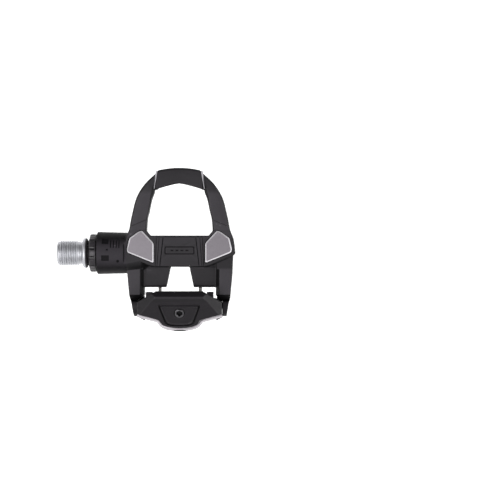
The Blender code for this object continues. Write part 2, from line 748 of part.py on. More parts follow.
def spring_cavity():
    """Room for the coils round the pin, the spring's middle loop and the tension nut."""
    coils = profile_bar("spring_cavity", [
        *arc((PIN_Y, PIN_Z), COIL_R + SPRING_WIRE_R + 0.5, -90, -250, 9),
        (-26.5, 4.4), (-20, 4.4), (-20, -12), (PIN_Y, -12),
    ], -13.2, 13.2)
    for name, front, low, high in (("loop_room", 4.1, -8.3, -3.2), ("nut_room", 3.5, -13.5, -8)):
        room = block(name, (-6.5, -3.2, low), (6.5, front, high), (0, 0, 0))
        place_on_pad(room)
        join(coils, room)
    return coils


def moved_out(path, distances):
    """The path moved sideways, to the left of the way it runs."""
    ends = [path[0], *path, path[-1]]
    moved = []
    for before, here, after, distance in zip(ends, path, ends[2:], distances):
        run = Vector(after) - Vector(before)
        moved.append((here[0] - run.y / run.length * distance, here[1] + run.x / run.length * distance))
    return moved


def band_section(height, thickness_at_side, thickness_in_middle):
    """The bright band's outline at one height, along the claw's rear edge and back again."""
    left_half = [(-x, y) for x, y in CLAW_REAR_EDGE]
    edge = left_half + CLAW_REAR_EDGE[-2::-1]
    inner = moved_out(edge, [-BAND_GAP] * len(edge))
    extra = thickness_in_middle - thickness_at_side
    widths = [thickness_at_side + extra * max(0, 1 - abs(x) / 11) for x, y in edge]
    outer = moved_out(edge, [-BAND_GAP - width for width in widths])
    return [(x, y, height) for x, y in inner + outer[::-1]]


def make_claw(claw_axis):
    claw = make_claw_shell()
    for cutter in claw_cutters():
        cut(claw, cutter)
    part(claw, CLAW_PLASTIC, claw_axis)

    # The band leans out towards its foot, so that it shows from above
    band = loft("claw_back_plate", [
        band_section(BAND_BOTTOM, 1.3, 1.85), band_section(BAND_TOP, 0.7, 0.8),
    ])
    window = rod("band_window", (0, -47, 0.4), (0, -40, 0.4), 3.3)
    cut(band, window)
    part(band, BAND_STEEL, claw_axis)


def make_pin(body_axis):
    pin = rod("claw_pin", (-26.4, PIN_Y, PIN_Z), (26.4, PIN_Y, PIN_Z), PIN_R)
    part(pin, SPINDLE_STEEL, body_axis)
    sleeve = rod("spring_sleeve", (-12.8, PIN_Y, PIN_Z), (12.8, PIN_Y, PIN_Z), COIL_R - SPRING_WIRE_R - 0.2)
    bore = rod("sleeve_bore", (-14, PIN_Y, PIN_Z), (14, PIN_Y, PIN_Z), PIN_R + RUNNING_GAP)
    cut(sleeve, bore)
    part(sleeve, CAGE_PLASTIC, body_axis)


def spring_leg_start():
    """Where a leg leaves its coil, at the top, running forward and slightly down."""
    lift = Vector((0, math.sin(SPRING_LEG_DROP), math.cos(SPRING_LEG_DROP)))
    return Vector((SPRING_LEG_X, PIN_Y, PIN_Z)) + lift * COIL_R


def spring_half():
    """One side of the spring: its leg, its coils and its way to the middle loop."""
    run = Vector((0, math.cos(SPRING_LEG_DROP), -math.sin(SPRING_LEG_DROP)))
    start = spring_leg_start()
    points = [start + run * 16.0, start + run * 8.0]
    steps = 12
    pitch = 2 * SPRING_WIRE_R + 0.25
    first = math.pi / 2 - SPRING_LEG_DROP
    last = LOOP_LEAN + 2 * math.pi * COIL_TURNS
    count = round((last - first) / (2 * math.pi) * steps)
    for i in range(count + 1):
        angle = first + (last - first) * i / count
        x = SPRING_LEG_X - pitch * (angle - first) / (2 * math.pi)
        points.append(Vector((x, PIN_Y + COIL_R * math.cos(angle), PIN_Z + COIL_R * math.sin(angle))))
    return points


def make_spring(body_axis):
    """Two coils, and between them a loop that crosses in front of the screw, on the nut."""
    depth = TENSION_NUT_HALF + SPRING_WIRE_R + RUNNING_GAP - TENSION_NUT_DEPTH
    front = SCREW_SHANK_R + SPRING_WIRE_R + RUNNING_GAP
    loop = [on_pad(5.2, front, depth - 0.9), on_pad(4.9, front, depth - 0.3), on_pad(4.2, front, depth)]
    right = spring_half() + loop
    left = [Vector((-p.x, p.y, p.z)) for p in reversed(right)]
    spring = wire("release_spring", right + left, SPRING_WIRE_R)
    part(spring, SPRING_STEEL, body_axis)


def make_tension_screw(screw_axis, nut_axis):
    screw = rod("tension_screw", screw_place(0), screw_place(2.2), SCREW_HEAD_R)
    shank = rod("screw_shank", screw_place(2), screw_place(SCREW_LENGTH), SCREW_SHANK_R)
    join(screw, shank)
    socket = rod("screw_socket", screw_place(-1), screw_place(1.5), 1.5 / math.cos(math.pi / 6), 6)
    cut(screw, socket)
    part(screw, SPINDLE_STEEL, screw_axis)

    half = TENSION_NUT_HALF
    nut = block("tension_nut", (-4.1, -2.8, -half), (4.1, 2.8, half), (0, 0, 0))
    place_on_pad(nut)
    nut.location = (screw_place(TENSION_NUT_DEPTH) + Vector(MIDDLE)) * MM
    hole = rod("nut_thread", screw_place(0), screw_place(14), SCREW_SHANK_R + RUNNING_GAP)
    cut(nut, hole)
    part(nut, SPINDLE_STEEL, nut_axis)


def main():
    in_middle = Vector(MIDDLE)
    body_axis = empty("pedal_axis", (0, 0, 0))
    needle_axis = empty("needle_cage_axis", (0, 0, 0))
    ball_axis = empty("ball_cage_axis", (0, 0, 0))
    claw_axis = empty("claw_hinge", in_middle + Vector((0, PIN_Y, PIN_Z)))
    screw_axis = empty("tension_screw_axis", in_middle + screw_place(0))
    nut_axis = empty("tension_nut_axis", in_middle + screw_place(TENSION_NUT_DEPTH))

    make_spindle()
    make_needle_bearing(body_axis, needle_axis)
    make_ball_bearing(body_axis, ball_axis)
    make_retaining_nut(body_axis)
    make_pedal_body(body_axis)
    make_wear_plates(body_axis)
    make_pin(body_axis)
    make_claw(claw_axis)
    make_spring(body_axis)
    make_tension_screw(screw_axis, nut_axis)


main()
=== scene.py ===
import math

import bmesh
import bpy
from mathutils import Matrix, Vector


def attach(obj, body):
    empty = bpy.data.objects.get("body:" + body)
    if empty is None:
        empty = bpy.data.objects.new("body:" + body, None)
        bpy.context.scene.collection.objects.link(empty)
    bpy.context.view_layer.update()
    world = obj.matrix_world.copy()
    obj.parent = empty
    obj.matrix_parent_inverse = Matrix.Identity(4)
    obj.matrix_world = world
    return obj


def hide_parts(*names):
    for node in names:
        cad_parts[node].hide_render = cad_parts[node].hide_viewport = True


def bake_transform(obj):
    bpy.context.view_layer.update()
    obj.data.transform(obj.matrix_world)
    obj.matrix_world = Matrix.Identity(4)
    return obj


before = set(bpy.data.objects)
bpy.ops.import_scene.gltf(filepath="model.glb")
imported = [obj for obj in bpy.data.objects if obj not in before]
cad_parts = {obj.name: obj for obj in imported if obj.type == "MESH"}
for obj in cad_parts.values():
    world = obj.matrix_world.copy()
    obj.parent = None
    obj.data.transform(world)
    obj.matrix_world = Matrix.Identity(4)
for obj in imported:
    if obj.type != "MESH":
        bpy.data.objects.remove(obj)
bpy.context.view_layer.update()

# The pieces are modelled in millimetres, in the frame's axes, and scaled down when they are done.
# Outlines of the body and the claw are written around the platform's middle.
MM = 0.001
MIDDLE = Vector((55, 0, 0))
AXIS = Vector((0, 0, 0))


# Mesh helpers

def make(name, bm, origin=MIDDLE):
    bmesh.ops.recalc_face_normals(bm, faces=bm.faces)
    bmesh.ops.translate(bm, vec=origin, verts=bm.verts)
    mesh = bpy.data.meshes.new(name)
    bm.to_mesh(mesh)
    bm.free()
    obj = bpy.data.objects.new(name, mesh)
    bpy.context.scene.collection.objects.link(obj)
    return obj


def modify(obj, kind, **settings):
    modifier = obj.modifiers.new(kind.lower(), kind)
    for key, value in settings.items():
        setattr(modifier, key, value)
    return obj


def bake(obj):
    bpy.context.view_layer.update()
    graph = bpy.context.evaluated_depsgraph_get()
    mesh = bpy.data.meshes.new_from_object(obj.evaluated_get(graph))
    obj.modifiers.clear()
    obj.data = mesh
    return obj


def combine(obj, tools, operation):
    for tool in tools:
        mode = "TRANSFER" if tool.data.materials else "INDEX"
        modify(obj, "BOOLEAN", operation=operation, solver="EXACT", object=tool, material_mode=mode)
    bake(obj)
    for tool in tools:
        bpy.data.objects.remove(tool)
    return obj


def join(obj, *tools):
    return combine(obj, tools, "UNION")


def cut(obj, *tools):
    return combine(obj, tools, "DIFFERENCE")


def keep(obj, *tools):
    return combine(obj, tools, "INTERSECT")


def mould(obj, voxel, rounds, share):
    """Rounds all edges a little, as on a moulded piece."""
    bm = bmesh.new()
    bm.from_mesh(obj.data)
    bmesh.ops.holes_fill(bm, edges=[edge for edge in bm.edges if edge.is_boundary])
    bm.to_mesh(obj.data)
    bm.free()
    modify(obj, "REMESH", mode="VOXEL", voxel_size=voxel)
    modify(obj, "SMOOTH", factor=0.5, iterations=rounds)
    modify(obj, "DECIMATE", ratio=share)
    return bake(obj)


def extruded(name, ring, way, origin=MIDDLE):
    bm = bmesh.new()
    face = bm.faces.new([bm.verts.new(point) for point in ring])
    moved = bmesh.ops.extrude_face_region(bm, geom=[face])["geom"]
    verts = [item for item in moved if isinstance(item, bmesh.types.BMVert)]
    bmesh.ops.translate(bm, vec=way, verts=verts)
    return make(name, bm, origin)


def slab(name, outline, low, high, origin=MIDDLE):
    return extruded(name, [(x, y, low) for x, y in outline], (0, 0, high - low), origin)


def side_bar(name, outline, left, right):
    return extruded(name, [(left, y, z) for y, z in outline], (right - left, 0, 0))


def front_bar(name, outline, near, far):
    return extruded(name, [(x, near, z) for x, z in outline], (0, far - near, 0))


def block(name, low, high, turn=None):
    bm = bmesh.new()
    bmesh.ops.create_cube(bm, size=1)
    bmesh.ops.scale(bm, vec=[b - a for a, b in zip(low, high)], verts=bm.verts)
    if turn:
        bmesh.ops.transform(bm, matrix=turn, verts=bm.verts)
    bmesh.ops.translate(bm, vec=[(a + b) / 2 for a, b in zip(low, high)], verts=bm.verts)
    return make(name, bm)


def rod(name, start, end, radius, steps=48, end_radius=None, origin=MIDDLE):
    start, end = Vector(start), Vector(end)
    bm = bmesh.new()
    bmesh.ops.create_cone(
        bm, cap_ends=True, segments=steps, radius1=radius,
        radius2=radius if end_radius is None else end_radius, depth=(end - start).length,
    )
    turn = (end - start).to_track_quat("Z", "Y").to_matrix().to_4x4()
    bmesh.ops.transform(bm, matrix=Matrix.Translation((start + end) / 2) @ turn, verts=bm.verts)
    return make(name, bm, origin)


def turned(name, profile, steps=128):
    """A shape turned about the spindle axis: (place along X, radius) pairs round its section."""
    bm = bmesh.new()
    rings = []
    for i in range(steps):
        angle = 2 * math.pi * i / steps
        cos, sin = math.cos(angle), math.sin(angle)
        rings.append([bm.verts.new((x, r * cos, r * sin)) for x, r in profile])
    count = len(profile)
    for ring, following in zip(rings, rings[1:] + rings[:1]):
        for i in range(count):
            j = (i + 1) % count
            if profile[i][1] or profile[j][1]:
                bm.faces.new((ring[i], ring[j], following[j], following[i]))
    bmesh.ops.remove_doubles(bm, verts=bm.verts, dist=0.0001)
    return make(name, bm, AXIS)


def loft(name, sections, origin=MIDDLE):
    bm = bmesh.new()
    rings = [[bm.verts.new(point) for point in section] for section in sections]
    count = len(rings[0])
    for ring, following in zip(rings, rings[1:]):
        for i in range(count):
            j = (i + 1) % count
            bm.faces.new((ring[i], ring[j], following[j], following[i]))
    bm.faces.new(rings[0])
    bm.faces.new(rings[-1][::-1])
    return make(name, bm, origin)


def tube(name, points, radius, steps):
    """A round wire along its points, with its frame carried along so that it doesn't twist."""
    points = [Vector(point) for point in points]
    sections = []
    side = None
    for i, point in enumerate(points):
        run = (points[min(i + 1, len(points) - 1)] - points[max(i - 1, 0)]).normalized()
        side = run.orthogonal() if side is None else side - run * side.dot(run)
        side.normalize()
        other = run.cross(side)
        angles = [2 * math.pi * k / steps for k in range(steps)]
        sections.append([point + (side * math.cos(a) + other * math.sin(a)) * radius for a in angles])
    return loft(name, sections)


def mirrored(obj):
    """The object and its mirror image across the platform's middle, in one."""
    bm = bmesh.new()
    bm.from_mesh(obj.data)
    bm.transform(Matrix.Translation((2 * MIDDLE.x, 0, 0)) @ Matrix.Scale(-1, 4, (1, 0, 0)))
    bmesh.ops.reverse_faces(bm, faces=bm.faces)
    bm.from_mesh(obj.data)
    bm.to_mesh(obj.data)
    bm.free()
    return obj


def both_sides(right_half):
    return right_half + [(-x, y) for x, y in reversed(right_half) if x > 0.01]


def arc(centre, radius, start, end, count):
    angles = [math.radians(start + (end - start) * i / (count - 1)) for i in range(count)]
    return [(centre[0] + radius * math.cos(a), centre[1] + radius * math.sin(a)) for a in angles]


def rounded(outline, radius, count=6):
    """The outline with its corners rounded off."""
    points = [Vector(point) for point in outline]
    found = []
    for before, here, after in zip(points[-1:] + points[:-1], points, points[1:] + points[:1]):
        back, on = before - here, after - here
        reach = min(radius, back.length * 0.45, on.length * 0.45)
        start, end = here + back.normalized() * reach, here + on.normalized() * reach
        for i in range(count + 1):
            t = i / count
            found.append(tuple(start * (1 - t) ** 2 + here * 2 * t * (1 - t) + end * t * t))
    return found


def inset(outline, distance):
    """An outline that runs clockwise, moved inwards with its corners kept sharp."""
    points = [Vector(point) for point in outline]
    found = []
    for before, here, after in zip(points[-1:] + points[:-1], points, points[1:] + points[:1]):
        one, two = (here - before).normalized(), (after - here).normalized()
        inwards = Vector((one.y + two.y, -one.x - two.x))
        found.append(tuple(here + inwards * distance / (1 + one.dot(two))))
    return found


def smooth_points(points, count):
    """Points evenly spaced in order along a smooth curve through the ones given."""
    padded = [points[0], *points, points[-1]]
    found = []
    for i in range(count):
        place = i / (count - 1) * (len(points) - 1)
        k = min(int(place), len(points) - 2)
        t = place - k
        p0, p1, p2, p3 = (Vector(p) for p in padded[k:k + 4])
        bend = (2 * p0 - 5 * p1 + 4 * p2 - p3) * t * t + (3 * p1 - p0 - 3 * p2 + p3) * t ** 3
        found.append((2 * p1 + (p2 - p0) * t + bend) / 2)
    return found


def bevel_top(obj, width):
    bm = bmesh.new()
    bm.from_mesh(obj.data)
    top = max(vert.co.z for vert in bm.verts) - 0.01
    edges = [edge for edge in bm.edges if all(vert.co.z > top for vert in edge.verts)]
    bmesh.ops.bevel(bm, geom=edges, offset=width, segments=2, profile=0.5, affect="EDGES")
    bm.to_mesh(obj.data)
    bm.free()
    return obj


# Materials

def add_node(tree, kind, **settings):
    node = tree.nodes.new(kind)
    for key, value in settings.items():
        setattr(node, key, value)
    return node


def set_range(node, from_low, from_high, low, high):
    ends = {"From Min": from_low, "From Max": from_high, "To Min": low, "To Max": high}
    for key, number in ends.items():
        node.inputs[key].default_value = number


class Nodes:
    """Short names for adding and linking a material's nodes."""

    def __init__(self, name):
        self.material = bpy.data.materials.new(name)
        self.material.use_nodes = True
        self.tree = self.material.node_tree
        self.shader = self.tree.nodes["Principled BSDF"]
        self.place = self.add("ShaderNodeTexCoord").outputs["Object"]

    def add(self, kind, **settings):
        return add_node(self.tree, kind, **settings)

    def link(self, source, target):
        self.tree.links.new(source, target)

    def set(self, **values):
        for key, value in values.items():
            self.shader.inputs[key.replace("_", " ")].default_value = value

    def noise(self, scale, detail=2.0, roughness=0.5, stretch=None):
        node = self.add("ShaderNodeTexNoise")
        node.inputs["Scale"].default_value = scale
        node.inputs["Detail"].default_value = detail
        node.inputs["Roughness"].default_value = roughness
        place = self.place
        if stretch:
            mapping = self.add("ShaderNodeMapping")
            mapping.inputs["Scale"].default_value = stretch
            self.link(place, mapping.inputs["Vector"])
            place = mapping.outputs["Vector"]
        self.link(place, node.inputs["Vector"])
        return node.outputs["Fac"]

    def cells(self, scale):
        node = self.add("ShaderNodeTexVoronoi")
        node.inputs["Scale"].default_value = scale
        self.link(self.place, node.inputs["Vector"])
        return node.outputs["Distance"]

    def span(self, value, low, high, from_low=0.3, from_high=0.7):
        node = self.add("ShaderNodeMapRange")
        self.link(value, node.inputs["Value"])
        set_range(node, from_low, from_high, low, high)
        return node.outputs["Result"]

    def mix(self, share, first, second):
        node = self.add("ShaderNodeMix", data_type="RGBA")
        self.link(share, node.inputs["Factor"])
        for socket, colour in ((node.inputs["A"], first), (node.inputs["B"], second)):
            if isinstance(colour, tuple):
                socket.default_value = (*colour, 1)
            else:
                self.link(colour, socket)
        return node.outputs["Result"]

    def times(self, share, base, factor):
        node = self.add("ShaderNodeMix", data_type="RGBA", blend_type="MULTIPLY")
        self.link(share, node.inputs["Factor"])
        self.link(base, node.inputs["A"])
        node.inputs["B"].default_value = (factor, factor, factor, 1)
        return node.outputs["Result"]

    def calc(self, operation, first, second):
        node = self.add("ShaderNodeMath", operation=operation)
        self.link(first, node.inputs[0])
        if isinstance(second, float):
            node.inputs[1].default_value = second
        else:
            self.link(second, node.inputs[1])
        return node.outputs["Value"]

    def axis(self, vector, letter):
        node = self.add("ShaderNodeSeparateXYZ")
        self.link(vector, node.inputs["Vector"])
        return node.outputs[letter]

    def edges(self, low, high):
        """Where the surface turns outwards, from 0 to 1."""
        return self.span(self.add("ShaderNodeNewGeometry").outputs["Pointiness"], 0, 1, low, high)

    def bump(self, height, distance, strength):
        node = self.add("ShaderNodeBump")
        node.inputs["Distance"].default_value = distance
        node.inputs["Strength"].default_value = strength
        self.link(height, node.inputs["Height"])
        if self.shader.inputs["Normal"].links:
            self.link(self.shader.inputs["Normal"].links[0].from_socket, node.inputs["Normal"])
        self.link(node.outputs["Normal"], self.shader.inputs["Normal"])


def shade(colour, factor):
    return tuple(channel * factor for channel in colour)


def painted_body_light(n, base):
    """Painted light: the arms and the legs are left lighter, and the platform and the nose get painted shade.
    Places here are in metres.
    """
    x, y, z = (n.axis(n.place, letter) for letter in "XYZ")
    outwards = n.calc("ABSOLUTE", n.calc("SUBTRACT", x, MIDDLE.x * MM), 0.0)
    lit_bars = n.calc("MULTIPLY", n.span(outwards, 0, 1, 0.0126, 0.0134), n.span(z, 0, 1, 0.0045, 0.0055))
    along = n.calc("ABSOLUTE", y, 0.0)
    lit_bars = n.calc("MULTIPLY", lit_bars, n.span(along, 0, 1, 0.0082, 0.0096))
    lit_bars = n.calc("MULTIPLY", lit_bars, n.span(along, 1, 0, 0.033, 0.0352))
    return n.times(n.span(lit_bars, 1, 0, 0.0, 1.0), base, 0.52)


def plastic(name, colour, roughness, grain=0.00003, edge_highlight=2.0, wall_shade=0.22, painted_areas=None, shine=0.2):
    """Moulded plastic: painted shade on its walls and underside, with a fine grain, light specks and painted
    highlights along its outward edges.
    """
    n = Nodes(name)
    n.set(Specular_IOR_Level=shine)
    clouds = n.noise(55, 4, 0.6)
    base = n.mix(n.span(clouds, 0, 1), shade(colour, 0.88), shade(colour, 1.12))
    if painted_areas:
        base = painted_areas(n, base)
    # Painted shade: faces that turn away from facing up, and those below, are darkened by wall_shade.
    upward = n.axis(n.add("ShaderNodeTexCoord").outputs["Normal"], "Z")
    base = n.times(n.span(upward, 1, 0, 0.72, 0.97), base, wall_shade)
    speckle = n.noise(2600, 2, 0.5)
    base = n.times(n.span(speckle, 0, 0.5, 0.5, 0.72), base, 1.5)
    # Painted highlight: outward edges are made lighter by edge_highlight.
    base = n.times(n.edges(0.53, 0.62), base, edge_highlight)
    n.link(base, n.shader.inputs["Base Color"])
    n.link(n.span(n.noise(240, 3), roughness - 0.06, roughness + 0.08), n.shader.inputs["Roughness"])
    n.bump(n.cells(1900), grain, 0.35)
    n.bump(n.noise(900, 3), grain * 1.4, 0.4)
    return n.material


def metal(name, colour, roughness, stretch=(1, 1, 1), scale=700, depth=0.00001, dirt=0.7, specks=0.0,
          metallic=1.0):
    """Plated or brushed steel, with marks along one way, duller patches and fine pits."""
    n = Nodes(name)
    n.set(Metallic=metallic)
    lines = n.noise(scale, 3, 0.6, stretch=stretch)
    patches = n.noise(120, 4, 0.6)
    base = n.mix(n.span(patches, 0, 1), shade(colour, dirt), colour)
    base = n.mix(n.span(lines, 0, 1), base, shade(colour, 1.06))
    if specks:
        base = n.mix(n.span(n.noise(5200, 2), 0, specks, 0.55, 0.7), base, shade(colour, 0.45))
    n.link(base, n.shader.inputs["Base Color"])
    n.link(n.span(lines, roughness - 0.05, roughness + 0.1), n.shader.inputs["Roughness"])
    n.bump(lines, depth, 0.5)
    return n.material


def rubber(name, colour):
    n = Nodes(name)
    n.set(Specular_IOR_Level=0.3)
    base = n.mix(n.span(n.noise(180, 3), 0, 1), colour, shade(colour, 1.8))
    n.link(base, n.shader.inputs["Base Color"])
    n.link(n.span(n.noise(420, 3), 0.55, 0.75), n.shader.inputs["Roughness"])
    n.bump(n.noise(1600, 3), 0.00003, 0.4)
    return n.material


BODY = plastic("body_plastic", (0.0262, 0.0236, 0.0278), 0.52, painted_areas=painted_body_light)
# A lit copy of the body's plastic: the barrel's middle is left lighter, with painted shade on its sides and
# less shine.
BARREL_LIT = plastic("barrel_lit_plastic", (0.026, 0.0235, 0.0275), 0.5, wall_shade=0.2, shine=0.06)
# Near-black plastic: painted shade in the grooves, marks and holes, and the tension gauge's own dark colour.
GROOVE_SHADE_AND_GAUGE = plastic("groove_shade_and_gauge_plastic", (0.005, 0.0045, 0.0055), 0.6, wall_shade=0.6, shine=0.07)
CLAW = plastic("claw_plastic", (0.0124, 0.0107, 0.0132), 0.47, edge_highlight=1.7, wall_shade=0.35)
NUT = plastic("nut_plastic", (0.014, 0.0125, 0.0145), 0.36, grain=0.00001, edge_highlight=3.4, wall_shade=0.7, shine=0.25)
PLATE = metal("plate_steel", (0.205, 0.19, 0.208), 0.46, scale=1500, depth=0.00002, dirt=0.9, specks=0.35)
# A lighter copy of the plate steel for its chamfers: a polished edge with a painted highlight.
PLATE_EDGE_HIGHLIGHT = metal(
    "plate_edge_highlight_steel", (0.62, 0.60, 0.63), 0.4, scale=900, depth=0.000004, dirt=0.9, metallic=0.35,
)
# Light steel strips that lie on the nose's steps as a painted highlight.
STEP_HIGHLIGHT = metal("nose_step_highlight_steel", (0.29, 0.28, 0.3), 0.4, scale=900, depth=0.000004, dirt=0.8)
# Near-black steel: painted shade inside the screw's hex socket.
SOCKET_SHADE = metal("socket_shade_steel", (0.02, 0.02, 0.021), 0.5, scale=900)
SPINDLE = metal("spindle_steel", (0.48, 0.485, 0.51), 0.5, stretch=(1, 0.05, 0.05), scale=900, depth=0.000004)
PIN = metal("pin_steel", (0.5, 0.5, 0.52), 0.3, scale=900)
BEARING = metal("bearing_steel", (0.72, 0.72, 0.74), 0.16, stretch=(1, 0.05, 0.05), scale=900, depth=0.000003)
BAND = metal("band_steel", (0.32, 0.30, 0.32), 0.42, stretch=(1, 1, 0.1), scale=900, dirt=0.88)
SPRING = metal("spring_steel", (0.2, 0.19, 0.18), 0.32, scale=600, dirt=0.6)
SCREW = metal("screw_steel", (0.14, 0.135, 0.145), 0.3, scale=1200, dirt=0.75)
CAGE = plastic("cage_plastic", (0.5, 0.36, 0.18), 0.5, edge_highlight=1.2, wall_shade=0.8)
SEAL = rubber("seal_rubber", (0.026, 0.025, 0.027))


def piece(obj, body, looks, nodes=(), sharp=50):
    """Finishes a piece: its size, looks and body, and the nodes it replaces."""
    obj.data.transform(Matrix.Scale(MM, 4))
    obj.data.shade_smooth()
    obj.data.set_sharp_from_angle(angle=math.radians(sharp))
    while len(obj.data.materials) < len(looks):
        obj.data.materials.append(None)
    for i, look in enumerate(looks):
        obj.data.materials[i] = look
    if body:
        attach(obj, body)
    if nodes:
        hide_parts(*nodes)


def paint_shade_near(obj, centre, reach):
    """Gives the second look, a painted shade, to the faces that lie near a place."""
    while len(obj.data.materials) < 2:
        obj.data.materials.append(None)
    for face in obj.data.polygons:
        if (face.center - centre).length < reach:
            face.material_index = 1


# Pedal body

ARM_OUTER = [(29.6, 5.5), (28.1, 14.4), (26.4, 23.0), (24.0, 31.5), (19.6, 38.6), (13.6, 44.4)]
ARM_INNER = [(18.9, 5.5), (18.25, 17.8), (17.1, 23.2), (15.6, 30.0), (14.3, 33.4), (13.9, 35.5)]
PLATE_OUTLINE = [
    (14.3, 5.6), (21.1, 12.9), (23.2, 12.1), (28.2, 8.5), (29.7, 2.0), (29.2, 0.2), (14.3, -5.8),
]
DECK_TOP = 10.0
# The barrel has its own look up to this place along the spindle: painted light along its middle and painted
# shade on its sides.
BARREL_END, BARREL_RADIUS = 25.2, 11.8
PIN_Y, PIN_Z = -30.0, -3.5
PIN_RADIUS, PIN_HOLE_RADIUS = 1.95, 2.2
EAR_RADIUS = 6.0
# How far along the arm its steep rise ends
CREASE = 0.2


def bar_section(inner, outer, bottom, top, facet, drop):
    """A bar's section: its inner edge is cut by a facet, and its outer edge is rounded."""
    inner, outer = Vector(inner), Vector(outer)
    width = (outer - inner).length
    run = (outer - inner) / width
    shape = [
        (0.5, bottom), (0, bottom + 0.6), (0, top - drop), (facet, top), (width * 0.6, top + 0.1),
        (width - 1.3, top), (width - 0.4, top - 0.4), (width, top - 1.4), (width, bottom + 1.2),
        (width - 0.9, bottom),
    ]
    return [(*(inner + run * across), height) for across, height in shape]


def make_hoop():
    count = 26
    sections = []
    pairs = zip(smooth_points(ARM_INNER, count), smooth_points(ARM_OUTER, count))
    for i, (inner, outer) in enumerate(pairs):
        share = i / (count - 1)
        # The arm's top rises steeply at first, up to a crease, and then gently to the nose
        top = 8.6 + 8.7 * share if share < CREASE else 10.34 + 1.66 * (share - CREASE) / (1 - CREASE)
        reach = max(0, (share - 0.5) / 0.5)
        sections.append(bar_section(inner, outer, -1 + 3 * share, top, 0.7 + 2.0 * reach, 0.7 + 2.4 * reach))
    for share in (1.0, 0.94, 0.86, 0.72, 0.55, 0.38, 0.2, 0.0):
        x = 12.3 * share
        outer_y = 45.7 if share == 1.0 else 47.75 - 1.5 * share ** 2
        inner = (13.0 * share, 38.9 - 3.3 * share ** 1.3)
        sections.append(bar_section(inner, (x, outer_y), 2, 13.9, 0.5, 0.5))
    other_side = [[(-x, y, z) for x, y, z in section] for section in reversed(sections[:-1])]
    return loft("pedal_shell", sections + other_side)


def make_deck():
    deck = slab("deck", both_sides([
        (16.4, 9.8), (19.2, 13.2), (28.3, 13.2), (30.3, 8.2), (30.9, 4.5), (31.4, -0.3),
        (30.4, -1.2), (17.6, -6.9), (14.0, -7.8),
    ]), 1.5, DECK_TOP)
    return bevel_top(deck, 0.75)


def make_legs():
    plan = slab("leg_plan", [
        (20, 1), (20.7, -8), (20.2, -23.9), (23.9, -26.5), (23.9, -36), (26.3, -36), (26.7, -33.5),
        (27.4, -29), (28.4, -25.6), (29.6, -12), (30.2, 1),
    ], -12, 12)
    side = side_bar("leg_side", [
        (0, 9.5), (-9, 6.2), (-23.4, 6.0), (-24.2, 5.2), (-26.8, 0.6),
        *arc((PIN_Y, PIN_Z), EAR_RADIUS, 65, 270, 24), (-12, -8.5), (0, -5),
    ], 19, 32)
    keep(plan, side)
    cut(plan, front_bar("leg_bevel", [(22.3, 8), (22.3, 6), (20.4, 2.7), (19, 2.7), (19, 8)], -23.8, -9.2))
    join(
        plan,
        block("leg_lip", (20.6, -27.8, -10.6), (25.6, -24.4, -9.0)),
        block("lip_root", (24.6, -28.2, -10.6), (26.0, -24.0, -7.5)),
    )
    return mirrored(plan)


def make_blocks():
    blocks = slab("spring_blocks", [
        (5.1, -6.5), (7.8, -19.4), (20.6, -19.4), (20.6, -6.5),
    ], -6.6, 2.6)
    cut(blocks, block("block_step", (4, -20, 2.2), (19.6, -18.3, 4)))
    return mirrored(blocks)


def make_barrel():
    return turned("barrel", [
        (8.2, 0), (8.2, 11.6), (8.5, 12.0), (26, 11.55),
        (33.5, 10.8), (37.5, 7.5), (37.5, 0),
    ], 96)


def make_core():
    return side_bar("core", [
        (9.75, 3), (9.75, -3.8), (6.3, -8.8), (-5.3, -8.8), (-7.75, -6.3), (-7.75, 3),
    ], -22, 21.2)


def shell_cutters():
    yield block("deck_trim", (-31.3, -12.5, DECK_TOP), (-14, 12.2, 16))
    yield turned("spindle_bore", [
        (6.2, 0), (6.2, 10.15), (17.5, 10.15), (17.5, 9.15), (30.7, 9.15), (32.9, 6.65),
        (74.5, 6.65), (74.5, 0),
    ], 96)
    yield mirrored(slab("plate_pocket", rounded(PLATE_OUTLINE, 0.7, 3), 8.7, 16))
    yield slab("cleat_nose_space", both_sides([(12.0, 33.0), (12.0, 43.2), (9.0, 44.2), (0, 44.9)]), -5, 10.4)
    yield mirrored(rod("pin_hole", (23, PIN_Y, PIN_Z), (29, PIN_Y, PIN_Z), PIN_HOLE_RADIUS))
    # Ribs are left between these pockets under the arms, the platform and the legs
    for low, high in ((14.5, 20.5), (21.5, 27.5)):
        yield mirrored(block("arm_pocket", (20.3, low, -3), (23.6, high, 6.5)))
    for x in (-10.5, -3.5, 3.5, 10.5):
        yield block("core_pocket", (x - 2.6, -5.2, -10), (x + 2.6, 5.6, -7.6))
    for low, high in ((-22.6, -17.2), (-16.2, -10.6)):
        yield mirrored(block("leg_pocket", (22.4, low, -10), (26.6, high, -5.8)))


def barrel_mark(low, high, bottom):
    """A cutter for a mark on the barrel, square to its surface: the corners are (x, y) places."""
    middle, half = (low[1] + high[1]) / 2, (high[1] - low[1]) / 2
    angle = math.asin(middle / BARREL_RADIUS)
    width = half / math.cos(angle)
    mark = block("barrel_mark", (low[0], -width, bottom), (high[0], width, 13.5))
    mark.data.transform(Matrix.Rotation(-angle, 4, "X"))
    return mark


